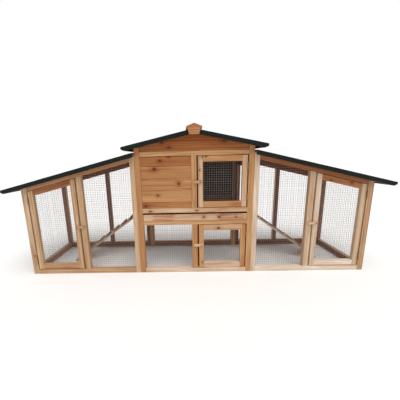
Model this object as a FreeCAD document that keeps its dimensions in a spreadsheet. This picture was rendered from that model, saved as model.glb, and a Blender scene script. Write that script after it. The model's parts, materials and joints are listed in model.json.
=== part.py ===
"""Double-run rabbit hutch: a gabled two-storey house between two lean-to runs.

Millimetres. +X runs along the length, +Y to the back, +Z up. The origin is on the ground, at the
middle of the footprint. Every sub-part takes its sizes from the sheet of driving dimensions.
"""
import FreeCAD, Part
import os
import re

import Sketcher

# Driving dimensions: alias, value and what it is. Lengths in millimetres.
DRIVING = [
    # Overall layout
    ("module_width", 638, "width of the house, and of each run"),
    ("body_depth", 400, "front face to back face of the frames"),
    ("eave_front", 28, "roofs past the front and the back faces"),
    ("house_eave", 60, "house roof past its side walls"),
    ("run_eave", 93, "run roof past the end of the run"),
    # Timber sections
    ("post_width", 30, "corner, end and middle posts, along X"),
    ("post_depth", 30, "house corner posts, along Y"),
    ("inner_post", 27, "run posts against the house, and rear studs"),
    ("frame_thickness", 24, "rails and run frames, along Y"),
    ("siding_thickness", 12, "wall and gable boards"),
    ("mesh_thickness", 1.6, "welded mesh, wire on wire"),
    ("mesh_lap", 12, "mesh stapled over the back of its frame"),
    # Heights of the house front, from the ground up
    ("house_bottom_rail", 25, "front bottom rail of the house"),
    ("lower_bay_top", 288, "underside of the rail under the tray"),
    ("tray_rail", 23, "rail under the tray"),
    ("tray_clearance", 1, "tray to what it runs on"),
    ("tray_front_height", 36, "wooden front of the tray"),
    ("finger_gap", 10, "gap over the tray front, to pull it out by"),
    ("floor_rail", 25, "rail over the tray"),
    ("upper_bay", 285, "opening height of the upper storey"),
    ("top_rail", 24, "top rail of the house front"),
    ("roof_over_rail", 27.82, "underside of the roof over the top rail, at the side walls"),
    ("house_fall", 0.22, "fall of the house roof per unit of width"),
    # House front
    ("stile_width", 28, "upright between siding and upper door"),
    ("stile_centre", -2, "its centre, along X"),
    ("first_board", 36.5, "visible height of the lowest siding board"),
    ("board_pitch", 65.5, "visible height of the next boards"),
    ("board_bevel", 4, "bevel along the top of each board"),
    ("gable_board", 50, "lower gable board"),
    ("gable_recess", 3, "gable and siding behind the posts' face"),
    # House sides
    ("sill_rise", 62, "sill of the pop holes over the top of the lower bay"),
    ("pophole_width", 190, "pop hole, along Y"),
    ("pophole_height", 250, "pop hole, along Z"),
    ("pophole_centre", 15, "its centre, along Y"),
    # Runs
    ("run_roof_drop", 41.82, "underside of a run roof below the house roof's, at the wall"),
    ("run_fall", 0.25, "fall of a run roof per unit of length"),
    ("run_bottom_rail", 27, "front bottom rails of the runs"),
    ("run_top_rail", 30, "front top rails of the runs"),
    ("rear_bottom_rail", 36, "rear and end bottom rails"),
    ("rear_top_rail", 44, "rear top rails of the runs"),
    ("run_bay", 269, "front bay between inner post and middle post"),
    ("stud_shift", 16.5, "rear studs nearer the house than the front middle posts"),
    # Roofs
    ("roof_board", 9.6, "roof boards, measured upright"),
    ("felt", 2, "mineral felt"),
    ("edge_batten", 11.4, "battens under the front, back and outer edges"),
    ("batten_width", 14, "the same battens, across"),
    ("tip_cut", 16, "outer batten in from the roof's end, with the felt drawn in to it"),
    ("cap_half_width", 40, "ridge cap, from its middle to its edge"),
    ("cap_fall", 0.38, "fall of the ridge cap per unit of width"),
    ("cap_board", 12, "ridge cap boards, measured upright"),
    ("cap_batten_half", 30, "batten under the cap, half its width"),
    ("cap_batten_height", 12.4, "the same batten, at its middle"),
    ("cap_block_top", 34, "end block, half its width under the cap"),
    ("cap_block_foot", 25, "end block, half its width at the foot"),
    ("cap_block_drop", 42, "end block, cap to foot"),
    ("cap_block_depth", 12, "end block, along Y"),
    # Doors
    ("door_thickness", 20, "door frames, along Y"),
    ("stop_width", 20, "stops behind the house doors, along X"),
    ("stop_depth", 10, "the same stops, along Y"),
    ("stop_lap", 10, "stops over the back of the upright beside a door's buttons"),
    ("door_stile", 27, "upright members of the doors"),
    ("door_rail", 31, "cross members of the doors"),
    ("latch_gap", 8, "door to frame, on the latch side"),
    ("hinge_gap", 6, "door to frame, on the hinge side"),
    ("door_gap", 3, "door to frame, above and below"),
    # Turn buttons and their screws
    ("button_reach", 43, "screw to the end that laps the frame"),
    ("button_tail", 9, "screw to the short end"),
    ("button_height", 15, "turn button, along Z"),
    ("button_thickness", 8, "turn button, along Y"),
    ("button_corner", 3, "cut corners of the button"),
    ("button_clear", 0.5, "button to the faces behind and before it"),
    ("screw_radius", 1.5, "shank of the button screw"),
    ("screw_play", 0.05, "button hole over the shank, on the radius"),
    ("screw_bite", 14, "shank in the door stile"),
    ("screw_head", 4, "radius of the screw head"),
    ("screw_head_height", 2.5, "height of the screw head"),
    ("upper_button", 142, "upper door's button over the foot of the door"),
    ("lower_button", 138, "lower door's button over the foot of the door"),
    ("run_button", 256, "run doors' buttons over the foot of the door"),
    # Butt hinges
    ("knuckle_radius", 3, "hinge knuckle; the gap takes two"),
    ("knuckle_stand", 0.5, "knuckle in front of the door face"),
    ("hinge_height", 40, "butt hinge, along its pin"),
    ("middle_knuckle", 13.4, "moving knuckle, along the pin"),
    ("knuckle_space", 0.3, "space between knuckles"),
    ("pin_radius", 1, "hinge pin"),
    ("pin_play", 0.05, "moving knuckle over the pin, on the radius"),
    ("leaf_thickness", 1, "hinge leaves"),
    ("leaf_width", 15, "hinge leaves, behind the knuckle"),
    ("leaf_space", 0.1, "leaf edge to the knuckle's back"),
    ("hinge_inset", 55, "hinge middle from the door's end"),
    # Tray
    ("tray_side_gap", 2, "tray front to the posts"),
    ("tray_front", 12, "wooden tray front, along Y"),
    ("pan_side_gap", 5, "metal pan to the posts"),
    ("pan_height", 25, "metal pan"),
    ("pan_sheet", 1, "sheet the pan is folded from"),
    ("pan_back_gap", 8, "metal pan to the rear rail"),
    ("runner_lap", 14, "tray runners under each side of the pan"),
    ("runner_height", 11, "tray runners, along Z"),
    # Ramps
    ("pivot_drop", 19, "ramp hinge pin below the sill"),
    ("ramp_length", 560, "ramp plank"),
    ("ramp_width", 140, "ramp plank, along Y"),
    ("ramp_thickness", 10, "ramp plank"),
    ("ramp_ground_gap", 0.3, "foot of the ramp over the ground"),
    ("cleat_width", 12, "ramp cleats, along the ramp"),
    ("cleat_height", 8, "ramp cleats, over the plank"),
    ("cleat_first", 30, "hinge pin to the first cleat"),
    ("cleat_pitch", 68, "cleat to cleat"),
    ("ramp_hinge_offset", 45, "each ramp hinge from the ramp's middle"),
]
CLEATS = 8
SIDING_BOARDS = 5
WALL_ROWS = 4

doc = FreeCAD.newDocument("rabbit_hutch")
sheet = doc.addObject("Spreadsheet::Sheet", "Sizes")
for row, (alias, value, meaning) in enumerate(DRIVING, start=1):
    sheet.set("A%d" % row, meaning)
    sheet.set("B%d" % row, str(value))
    sheet.setAlias("B%d" % row, alias)
doc.recompute()

ALIASES = {alias for alias, value, meaning in DRIVING}
NODES = {}


# Formulas --------------------------------------------------------------------

def bound(formula):
    """Write a formula of aliases as an expression on the sheet's cells."""
    return re.sub(r"[a-z_]+", lambda word: cell(word.group()), str(formula))


def cell(word):
    """A sheet reference for an alias; any other word, such as asin, as it is."""
    return "Sizes." + word if word in ALIASES else word


def bind(thing, formulas):
    """Tie an object's properties to the sheet."""
    for name, formula in formulas.items():
        thing.setExpression(name, bound(formula))


def house_under(x):
    """Underside of the house roof at a distance x from the ridge."""
    return "(%s - house_fall * (%s))" % (RIDGE, x)


def run_under(x):
    """Underside of the right run's roof at x."""
    return "(%s - run_roof_drop - run_fall * ((%s) - module_width / 2))" % (house_under(WALL), x)


def cap_under(x):
    """Underside of the ridge cap at a distance x from the ridge."""
    return "(%s - cap_fall * (%s))" % (CAP_UNDER, x)


WALL = "(module_width / 2)"
POST_INSIDE = "(module_width / 2 - post_width)"
BAY_WIDTH = "(module_width - 2 * post_width)"
FRONT = "(-body_depth / 2)"
FRAME_BACK = "(body_depth / 2 - frame_thickness)"
POST_BACK = "(body_depth / 2 - post_depth)"
TRAY_BOTTOM = "(lower_bay_top + tray_rail + tray_clearance)"
FLOOR_RAIL = "(%s + tray_front_height + finger_gap)" % TRAY_BOTTOM
UPPER_BOTTOM = "(%s + floor_rail)" % FLOOR_RAIL
UPPER_TOP = "(%s + upper_bay)" % UPPER_BOTTOM
GABLE_BOTTOM = "(%s + top_rail)" % UPPER_TOP
RIDGE = "(%s + roof_over_rail + house_fall * module_width / 2)" % GABLE_BOTTOM
STILE_LEFT = "(stile_centre - stile_width / 2)"
STILE_RIGHT = "(stile_centre + stile_width / 2)"
RUN_END = "(module_width * 1.5)"
RUN_INSIDE = "(module_width / 2 + inner_post)"
RUN_MIDDLE = "(module_width / 2 + inner_post + run_bay)"
RUN_DOOR_BAY = "(module_width / 2 + inner_post + run_bay + post_width)"
RUN_POST = "(module_width * 1.5 - post_width)"
ROOF_HALF_DEPTH = "(body_depth / 2 + eave_front)"
CAP_SEAT = "(%s + roof_board + felt)" % RIDGE
CAP_UNDER = "(%s + cap_batten_height)" % CAP_SEAT
SILL = "(lower_bay_top + sill_rise)"
RAMP_PIVOT = "(%s - pivot_drop)" % SILL


# Shapes ----------------------------------------------------------------------

def box(x, y, z, length, width, height):
    """A block with its lowest corner at x, y, z."""
    block = doc.addObject("Part::Box", "block")
    bind(block, {"Length": length, "Width": width, "Height": height})
    bind(block, {"Placement.Base.x": x, "Placement.Base.y": y, "Placement.Base.z": z})
    return block


def rod(radius, height, x, y, z, along="Z"):
    """A round bar from x, y, z, along Z or along Y."""
    bar = doc.addObject("Part::Cylinder", "rod")
    if along == "Y":
        bar.Placement.Rotation = FreeCAD.Rotation(FreeCAD.Vector(1, 0, 0), -90)
    bind(bar, {"Radius": radius, "Height": height})
    bind(bar, {"Placement.Base.x": x, "Placement.Base.y": y, "Placement.Base.z": z})
    return bar


def profile(points, depth, x="0", y="0", z="0", plane="XZ_Plane"):
    """A padded outline. Points are two formulas each, not negative, from x, y, z.

    On XZ_Plane they are along X and Z, and the pad goes towards +Y. On YZ_Plane they are
    along Y and Z, and the pad goes towards +X.
    """
    body = doc.addObject("PartDesign::Body", "profile")
    sketch = body.newObject("Sketcher::SketchObject", "outline")
    origin_planes = [plane_ for plane_ in body.Origin.OriginFeatures if plane_.Role == plane]
    sketch.AttachmentSupport = [(origin_planes[0], "")]
    sketch.MapMode = "FlatFace"
    corners = [corner_guess(point) for point in points]
    for start, end in zip(corners, corners[1:] + corners[:1]):
        sketch.addGeometry(Part.LineSegment(start, end), False)
    count = len(points)
    for index in range(count):
        previous = (index - 1) % count
        sketch.addConstraint(Sketcher.Constraint("Coincident", previous, 2, index, 1))
    for index, (across, up) in enumerate(points):
        tie_corner(sketch, index, "DistanceX", across, -2)
        tie_corner(sketch, index, "DistanceY", up, -1)
    pad = body.newObject("PartDesign::Pad", "pad")
    pad.Profile = sketch
    pad.Reversed = plane == "XZ_Plane"
    bind(pad, {"Length": depth})
    bind(body, {"Placement.Base.x": x, "Placement.Base.y": y, "Placement.Base.z": z})
    return body


def corner_guess(point):
    """A starting place for a corner, from its formulas' values."""
    across, up = [number(formula) for formula in point]
    return FreeCAD.Vector(across, up, 0)


def number(formula):
    """What a formula comes to now."""
    return float(sheet.evalExpression(bound(formula)))


def tie_corner(sketch, index, kind, formula, axis):
    """Hold one coordinate of a corner: on the axis for 0, else by a formula."""
    if formula == "0":
        sketch.addConstraint(Sketcher.Constraint("PointOnObject", index, 1, axis))
        return
    tie = sketch.addConstraint(Sketcher.Constraint(kind, -1, 1, index, 1, number(formula)))
    sketch.setExpression("Constraints[%d]" % tie, bound(formula))


def sloped(under, start, end, low, high):
    """Corners of a strip from start to end that follows a roof, low to high over its underside."""
    return [
        (start, "(%s + (%s))" % (under(start), low)),
        (end, "(%s + (%s))" % (under(end), low)),
        (end, "(%s + (%s))" % (under(end), high)),
        (start, "(%s + (%s))" % (under(start), high)),
    ]


def upright(under, start, end, foot, top_drop="0"):
    """Corners of a post from its foot to a roof's underside, less top_drop."""
    return [
        (start, foot),
        (end, foot),
        (end, "(%s - (%s))" % (under(end), top_drop)),
        (start, "(%s - (%s))" % (under(start), top_drop)),
    ]


def fused(pieces):
    """One solid from several."""
    whole = doc.addObject("Part::MultiFuse", "fused")
    whole.Shapes = pieces
    return whole


def cut(base, tool):
    """A solid with a hole or a notch in it."""
    result = doc.addObject("Part::Cut", "cut")
    result.Base = base
    result.Tool = tool
    return result


def group(pieces):
    """Several pieces of one sub-part, each still its own solid."""
    together = doc.addObject("Part::Compound", "group")
    together.Links = pieces
    return together


def mirrored(source, normal):
    """The same sub-part on the other side."""
    other = doc.addObject("Part::Mirroring", "mirrored")
    other.Source = source
    other.Normal = normal
    return other


def node(label, thing):
    """Name a finished sub-part."""
    thing.Label = label
    NODES[label] = thing
    return thing


ACROSS = FreeCAD.Vector(1, 0, 0)
TO_BACK = FreeCAD.Vector(0, 1, 0)


def both_sides(name, thing):
    """A sub-part of the right side, and its mirror image on the left."""
    node("right_" + name, thing)
    node("left_" + name, mirrored(thing, ACROSS))


# House frame -----------------------------------------------------------------

def house_posts():
    """Four corner posts, their tops cut to the roof."""
    front_right = profile(upright(house_under, POST_INSIDE, WALL, "0"), "post_depth", y=FRONT)
    rear_right = mirrored(front_right, TO_BACK)
    node("house_post_front_right", front_right)
    node("house_post_rear_right", rear_right)
    node("house_post_front_left", mirrored(front_right, ACROSS))
    node("house_post_rear_left", mirrored(rear_right, ACROSS))


def house_rail(y, bottom, height):
    """One rail between the posts."""
    return box("-" + POST_INSIDE, y, bottom, BAY_WIDTH, "frame_thickness", height)


def house_rails():
    """Rails of the front and of the back."""
    front = [
        house_rail(FRONT, "0", "house_bottom_rail"),
        house_rail(FRONT, "lower_bay_top", "tray_rail"),
        house_rail(FRONT, FLOOR_RAIL, "floor_rail"),
        house_rail(FRONT, UPPER_TOP, "top_rail"),
    ]
    back = [
        house_rail(FRAME_BACK, "0", "rear_bottom_rail"),
        house_rail(FRAME_BACK, "lower_bay_top", UPPER_BOTTOM + " - lower_bay_top"),
        house_rail(FRAME_BACK, UPPER_TOP, "top_rail"),
    ]
    node("house_front_rails", group(front))
    node("house_rear_rails", group(back))


def house_uprights():
    """The upright beside the upper door, and the post beside the lower door."""
    stile = box(STILE_LEFT, FRONT, UPPER_BOTTOM, "stile_width", "frame_thickness", "upper_bay")
    lower_height = "lower_bay_top - house_bottom_rail"
    post = box("-post_width / 2", FRONT, "house_bottom_rail", "post_width", "frame_thickness",
               lower_height)
    node("house_front_stile", stile)
    node("house_lower_post", post)


def door_stops():
    """Battens behind the gaps on both sides of the two house doors."""
    stops = []
    bays = (
        (STILE_RIGHT, UPPER_BOTTOM, "upper_bay"),
        ("post_width / 2", "house_bottom_rail", "lower_bay_top - house_bottom_rail"),
    )
    for gap, bottom, height in bays:
        for x in ("(%s - stop_lap)" % gap, "(%s - stop_width)" % POST_INSIDE):
            stops.append(box(x, FRONT + " + frame_thickness", bottom, "stop_width", "stop_depth", height))
    node("door_stops", group(stops))


def siding(left, width):
    """Horizontal boards over the upper storey, each with a bevelled top edge."""
    boards = []
    for index in range(SIDING_BOARDS):
        bottom = "(%s + first_board + %d * board_pitch)" % (UPPER_BOTTOM, index - 1)
        height = "board_pitch"
        if index == 0:
            bottom = UPPER_BOTTOM
            height = "first_board"
        if index == SIDING_BOARDS - 1:
            height = "(%s - %s)" % (UPPER_TOP, bottom)
        section = [
            ("0", "0"),
            ("siding_thickness", "0"),
            ("siding_thickness", height),
            ("board_bevel", height),
            ("0", "(%s - board_bevel)" % height),
        ]
        face = FRONT + " + gable_recess"
        boards.append(profile(section, width, left, face, bottom, "YZ_Plane"))
    return boards


def house_walls():
    """Front siding beside the upper door, and the closed back wall."""
    node("house_front_siding", group(siding("-" + POST_INSIDE, STILE_LEFT + " + " + POST_INSIDE)))
    node("house_rear_wall", mirrored(group(siding("-" + POST_INSIDE, BAY_WIDTH)), TO_BACK))


def house_gables():
    """Two boards close each gable, under the slope of the roof."""
    half = "((%s - %s - gable_board) / house_fall)" % (RIDGE, GABLE_BOTTOM)
    shoulder = "(%s - %s)" % (house_under(POST_INSIDE), GABLE_BOTTOM)
    lower = [
        ("0", "0"),
        (BAY_WIDTH, "0"),
        (BAY_WIDTH, shoulder),
        ("(%s + %s)" % (POST_INSIDE, half), "gable_board"),
        ("(%s - %s)" % (POST_INSIDE, half), "gable_board"),
        ("0", shoulder),
    ]
    upper = [
        ("0", "0"),
        ("(2 * %s)" % half, "0"),
        (half, "(%s * house_fall)" % half),
    ]
    face = FRONT + " + gable_recess"
    boards = [
        profile(lower, "siding_thickness", "-" + POST_INSIDE, face, GABLE_BOTTOM),
        profile(upper, "siding_thickness", "-" + half, face, GABLE_BOTTOM + " + gable_board"),
    ]
    front = group(boards)
    node("house_gable_front", front)
    node("house_gable_rear", mirrored(front, TO_BACK))


def wall_board(start, length, bottom, height):
    """A side wall board along Y, its outer top edge bevelled."""
    section = [
        ("0", "0"),
        ("siding_thickness", "0"),
        ("siding_thickness", "(%s - board_bevel)" % height),
        ("(siding_thickness - board_bevel)", height),
        ("0", height),
    ]
    return profile(section, length, WALL + " - siding_thickness", start, bottom)


def house_side_walls():
    """Side walls between the corner posts, with a pop hole into each run."""
    full = "(body_depth - 2 * post_depth)"
    hole_front = "(pophole_centre - pophole_width / 2)"
    hole_back = "(pophole_centre + pophole_width / 2)"
    row = "(pophole_height / %d)" % WALL_ROWS
    header = "(%s + pophole_height)" % SILL
    header_board = "((%s - %s) / 2)" % (house_under(WALL), header)
    boards = [wall_board("-" + POST_BACK, full, "lower_bay_top", "sill_rise")]
    for index in range(WALL_ROWS):
        bottom = "(%s + %d * %s)" % (SILL, index, row)
        boards.append(wall_board("-" + POST_BACK, hole_front + " + " + POST_BACK, bottom, row))
        boards.append(wall_board(hole_back, POST_BACK + " - " + hole_back, bottom, row))
    for index in range(2):
        bottom = "(%s + %d * %s)" % (header, index, header_board)
        boards.append(wall_board("-" + POST_BACK, full, bottom, header_board))
    both_sides("side_wall", group(boards))


def house_mesh():
    """Mesh over the lower front bay beside the door, and over the lower back."""
    front = box("-" + POST_INSIDE, "-" + FRAME_BACK, "house_bottom_rail - mesh_lap", POST_INSIDE,
                "mesh_thickness", "lower_bay_top - house_bottom_rail + 2 * mesh_lap")
    back = box("-" + POST_INSIDE, FRAME_BACK + " - mesh_thickness", "rear_bottom_rail - mesh_lap",
               BAY_WIDTH, "mesh_thickness", "lower_bay_top - rear_bottom_rail + 2 * mesh_lap")
    node("house_lower_mesh", group([front, back]))


# Tray ------------------------------------------------------------------------

def tray():
    """Pull-out tray: a wooden front with a folded metal pan behind it, on two runners."""
    front = box("-%s + tray_side_gap" % POST_INSIDE, FRONT, TRAY_BOTTOM,
                BAY_WIDTH + " - 2 * tray_side_gap", "tray_front", "tray_front_height")
    half = "(%s - pan_side_gap)" % POST_INSIDE
    start = "(%s + tray_front)" % FRONT
    length = "(%s - pan_back_gap - %s)" % (FRAME_BACK, start)
    outside = box("-" + half, start, TRAY_BOTTOM, "2 * " + half, length, "pan_height")
    inside = box("-%s + pan_sheet" % half, start + " + pan_sheet", TRAY_BOTTOM + " + pan_sheet",
                 "2 * (%s - pan_sheet)" % half, length + " - 2 * pan_sheet", "pan_height")
    node("tray_front", front)
    node("tray_pan", cut(outside, inside))
    runner_length = "(body_depth - 2 * post_depth)"
    runner_edge = "(%s - runner_lap)" % half
    runner_width = "(%s - siding_thickness - %s)" % (WALL, runner_edge)
    runner = box(runner_edge, "-" + POST_BACK, TRAY_BOTTOM + " - tray_clearance - runner_height",
                 runner_width, runner_length, "runner_height")
    node("tray_runners", group([runner, mirrored(runner, ACROSS)]))


# Roofs -----------------------------------------------------------------------

def strip(under, start, end, low, high, y, depth):
    """A length of roof, low to high over its underside."""
    return profile(sloped(under, start, end, low, high), depth, y=y)


def felt_cover(under, start, end):
    """Felt over a roof board, folded over its edges and drawn in under its outer end."""
    whole_depth = "2 * " + ROOF_HALF_DEPTH
    front = "-" + ROOF_HALF_DEPTH
    top = "roof_board + felt"
    outer = "(%s + felt)" % end
    turn = "(%s - tip_cut)" % outer
    low_turn = "(%s - edge_batten)" % under(turn)
    edge = [
        (start, "(%s - edge_batten)" % under(start)),
        (turn, low_turn),
        (outer, under(outer)),
        (outer, "(%s + %s)" % (under(outer), top)),
        (start, "(%s + %s)" % (under(start), top)),
    ]
    batten_end = "(%s - tip_cut)" % end
    flap = [
        (batten_end, "(%s - edge_batten)" % under(batten_end)),
        (turn, low_turn),
        (outer, under(outer)),
        (end, under(end)),
    ]
    pieces = [
        strip(under, start, outer, "roof_board", top, front, whole_depth),
        strip(under, end, outer, "0", top, front, whole_depth),
        profile(flap, whole_depth, y=front),
        profile(edge, "felt", y=front),
        profile(edge, "felt", y=ROOF_HALF_DEPTH + " - felt"),
    ]
    return fused(pieces)


def roof(under, start, end):
    """Board, felt, front batten and outer batten of one slope."""
    inset = "(%s - felt)" % ROOF_HALF_DEPTH
    between = "(%s - batten_width)" % inset
    board = strip(under, start, end, "0", "roof_board", "-" + inset, "2 * " + inset)
    last = "(%s - tip_cut)" % end
    front = strip(under, start, last, "-edge_batten", "0", "-" + inset, "batten_width")
    across = "(%s - batten_width)" % last
    outer = strip(under, across, last, "-edge_batten", "0", "-" + between, "2 * " + between)
    return board, felt_cover(under, start, end), front, outer


def roofs():
    """House roof in two slopes, a lean-to roof over each run, and all their battens."""
    house_end = "(module_width / 2 + house_eave - felt)"
    run_end = "(module_width * 1.5 + run_eave - felt)"
    run_start = "(module_width / 2 + felt)"
    battens = []
    for name, under, start, end in (
        ("house_roof", house_under, "0", house_end),
        ("run_roof", run_under, run_start, run_end),
    ):
        board, cover, front, outer = roof(under, start, end)
        both_sides(name + "_board", board)
        both_sides(name + "_felt", cover)
        rear = mirrored(front, TO_BACK)
        battens += [front, rear, mirrored(front, ACROSS), mirrored(rear, ACROSS)]
        battens += [outer, mirrored(outer, ACROSS)]
    node("roof_edge_battens", group(battens))


def ridge_cap():
    """Two boards over the ridge on a shaped batten, and a block closing each end."""
    length = "2 * (%s + cap_block_depth)" % ROOF_HALF_DEPTH
    start = "-(%s + cap_block_depth)" % ROOF_HALF_DEPTH
    board = strip(cap_under, "0", "cap_half_width", "0", "cap_board", start, length)
    edge_seat = "(%s - house_fall * cap_batten_half)" % CAP_SEAT
    batten = [
        ("0", CAP_SEAT),
        ("cap_batten_half", edge_seat),
        ("cap_batten_half", cap_under("cap_batten_half")),
        ("0", CAP_UNDER),
    ]
    half_batten = profile(batten, "2 * " + ROOF_HALF_DEPTH, y="-" + ROOF_HALF_DEPTH)
    whole_batten = fused([half_batten, mirrored(half_batten, ACROSS)])
    node("ridge_cap_boards", group([board, mirrored(board, ACROSS), whole_batten]))
    middle = "cap_block_top"
    shoulder = "(cap_block_drop - cap_fall * cap_block_top)"
    outline = [
        ("(cap_block_top - cap_block_foot)", "0"),
        ("(cap_block_top + cap_block_foot)", "0"),
        ("(2 * cap_block_top)", shoulder),
        (middle, "cap_block_drop"),
        ("0", shoulder),
    ]
    block = profile(outline, "cap_block_depth", "-cap_block_top", start,
                    CAP_UNDER + " - cap_block_drop")
    node("ridge_cap_blocks", group([block, mirrored(block, TO_BACK)]))


# Runs ------------------------------------------------------------------------

def run_frames():
    """Front, back and end frames of the right run, mirrored for the left."""
    depth = "frame_thickness"
    front_posts = [
        (WALL, RUN_INSIDE, "0", "0"),
        (RUN_MIDDLE, RUN_DOOR_BAY, "run_bottom_rail", "run_top_rail"),
        (RUN_POST, RUN_END, "0", "0"),
    ]
    stud = "(%s - stud_shift)" % RUN_MIDDLE
    rear_posts = [
        (WALL, RUN_INSIDE, "0", "0"),
        (stud, stud + " + inner_post", "rear_bottom_rail", "rear_top_rail"),
        (RUN_POST, RUN_END, "0", "0"),
    ]
    rail_length = "(%s - %s)" % (RUN_POST, RUN_INSIDE)
    front = [profile(upright(run_under, *post), depth, y=FRONT) for post in front_posts]
    front.append(strip(run_under, RUN_INSIDE, RUN_POST, "-run_top_rail", "0", FRONT, depth))
    front.append(box(RUN_INSIDE, FRONT, "0", rail_length, depth, "run_bottom_rail"))
    rear = [profile(upright(run_under, *post), depth, y=FRAME_BACK) for post in rear_posts]
    rear.append(strip(run_under, RUN_INSIDE, RUN_POST, "-rear_top_rail", "0", FRAME_BACK, depth))
    rear.append(box(RUN_INSIDE, FRAME_BACK, "0", rail_length, depth, "rear_bottom_rail"))
    end_x = "(%s - frame_thickness)" % RUN_END
    end_length = "(2 * %s)" % FRAME_BACK
    end_top = "(%s - rear_bottom_rail)" % run_under(RUN_END)
    end = [
        box(end_x, "-" + FRAME_BACK, "0", depth, end_length, "rear_bottom_rail"),
        box(end_x, "-" + FRAME_BACK, end_top, depth, end_length, "rear_bottom_rail"),
    ]
    both_sides("run_front_frame", group(front))
    both_sides("run_rear_frame", group(rear))
    both_sides("run_end_rails", group(end))


def run_mesh():
    """Mesh stapled inside the front bay, the back and the end of the right run."""
    half_inner = "(%s - inner_post / 2)" % RUN_INSIDE
    half_middle = "(%s + post_width / 2)" % RUN_MIDDLE
    end_face = "(%s - frame_thickness)" % RUN_END
    foot = "(run_bottom_rail - mesh_lap)"
    rear_foot = "(rear_bottom_rail - mesh_lap)"
    head = "(run_top_rail - mesh_lap)"
    rear_head = "(rear_top_rail - mesh_lap)"
    end_top = "(%s - rear_bottom_rail + mesh_lap)" % run_under(RUN_END)
    front = profile(upright(run_under, half_inner, half_middle, foot, head), "mesh_thickness",
                    y="-" + FRAME_BACK)
    rear = profile(upright(run_under, half_inner, end_face, rear_foot, rear_head),
                   "mesh_thickness", y=FRAME_BACK + " - mesh_thickness")
    end = box(end_face + " - mesh_thickness", "-%s + mesh_thickness" % FRAME_BACK, rear_foot,
              "mesh_thickness", "2 * (%s - mesh_thickness)" % FRAME_BACK,
              "%s - %s" % (end_top, rear_foot))
    both_sides("run_mesh", group([front, rear, end]))


# Doors -----------------------------------------------------------------------

def flat_top(height):
    """A roof formula that gives the same height everywhere."""
    return lambda x: height


def door(left, right, bottom, top, button_rise):
    """Frame and mesh of a door hinged on its right, with a pilot hole for the button screw."""
    inside_left = "(%s + door_stile)" % left
    inside_right = "(%s - door_stile)" % right
    inside_bottom = "(%s + door_rail)" % bottom
    depth = "door_thickness"
    latch = profile(upright(top, left, inside_left, bottom), depth, y=FRONT)
    pilot = rod("screw_radius", "screw_bite", left + " + door_stile / 2", FRONT,
                "%s + %s" % (bottom, button_rise), "Y")
    hinge_side = profile(upright(top, inside_right, right, bottom), depth, y=FRONT)
    cross = "(%s - %s)" % (inside_right, inside_left)
    rail_low = box(inside_left, FRONT, bottom, cross, depth, "door_rail")
    rail_high = strip(top, inside_left, inside_right, "-door_rail", "0", FRONT, depth)
    frame = group([cut(latch, pilot), hinge_side, rail_low, rail_high])
    lap = upright(top, inside_left + " - mesh_lap", inside_right + " + mesh_lap",
                  inside_bottom + " - mesh_lap", "door_rail - mesh_lap")
    mesh = profile(lap, "mesh_thickness", y=FRONT + " + door_thickness")
    return frame, mesh


def button(pivot, height):
    """Turn button on the door's latch stile; its long end laps the frame beside the door."""
    length = "(button_reach + button_tail)"
    far = "(%s - button_corner)" % length
    high = "(button_height - button_corner)"
    outline = [
        ("button_corner", "0"),
        (far, "0"),
        (length, "button_corner"),
        (length, high),
        (far, "button_height"),
        ("button_corner", "button_height"),
        ("0", high),
        ("0", "button_corner"),
    ]
    back = "(%s - button_clear)" % FRONT
    face = "(%s - button_thickness)" % back
    blank = profile(outline, "button_thickness", pivot + " - button_reach", face,
                    height + " - button_height / 2")
    hole = rod("screw_radius + screw_play", "button_thickness", pivot, face, height, "Y")
    seat = "(%s - button_clear)" % face
    shank = rod("screw_radius", "%s + screw_bite - %s" % (FRONT, seat), pivot, seat, height, "Y")
    head = rod("screw_head", "screw_head_height", pivot, seat + " - screw_head_height", height, "Y")
    return cut(blank, hole), fused([shank, head])


# Hinges: the pin is on Z through the origin, the fixed leaf is on +X and the leaves go to +Y.

def knuckles(spans, side, bore):
    """A leaf with its knuckles, bored for the pin. Side is +1 for the fixed leaf, -1 for the other."""
    outer = "knuckle_radius" if side > 0 else "-knuckle_radius + leaf_thickness"
    leaf_y = "knuckle_radius + leaf_space"
    leaf = box(outer + " - leaf_thickness", leaf_y, "-hinge_height / 2", "leaf_thickness",
               "leaf_width", "hinge_height")
    pieces = [leaf]
    for bottom, height in spans:
        pieces.append(box(outer + " - leaf_thickness", "0", bottom, "leaf_thickness", leaf_y, height))
        pieces.append(rod("knuckle_radius", height, "0", "0", bottom))
    hole = rod(bore, "hinge_height", "0", "0", "-hinge_height / 2")
    return cut(fused(pieces), hole)


def fixed_leaf():
    """Leaf screwed to the frame, with the outer two knuckles."""
    space = "(middle_knuckle / 2 + knuckle_space)"
    height = "(hinge_height / 2 - %s)" % space
    return knuckles([("-hinge_height / 2", height), (space, height)], 1, "pin_radius")


def moving_leaf():
    """Leaf screwed to what swings, with the middle knuckle."""
    return knuckles([("-middle_knuckle / 2", "middle_knuckle")], -1, "pin_radius + pin_play")


def hinge_pin():
    """Pin, held by the fixed knuckles."""
    return rod("pin_radius", "hinge_height", "0", "0", "-hinge_height / 2")


def placed(piece, x, y, z, rotation=None):
    """Move a hinge piece to its place, turned first if it has to be."""
    carrier = group([piece])
    if rotation:
        carrier.Placement.Rotation = rotation
    bind(carrier, {"Placement.Base.x": x, "Placement.Base.y": y, "Placement.Base.z": z})
    return carrier


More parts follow.
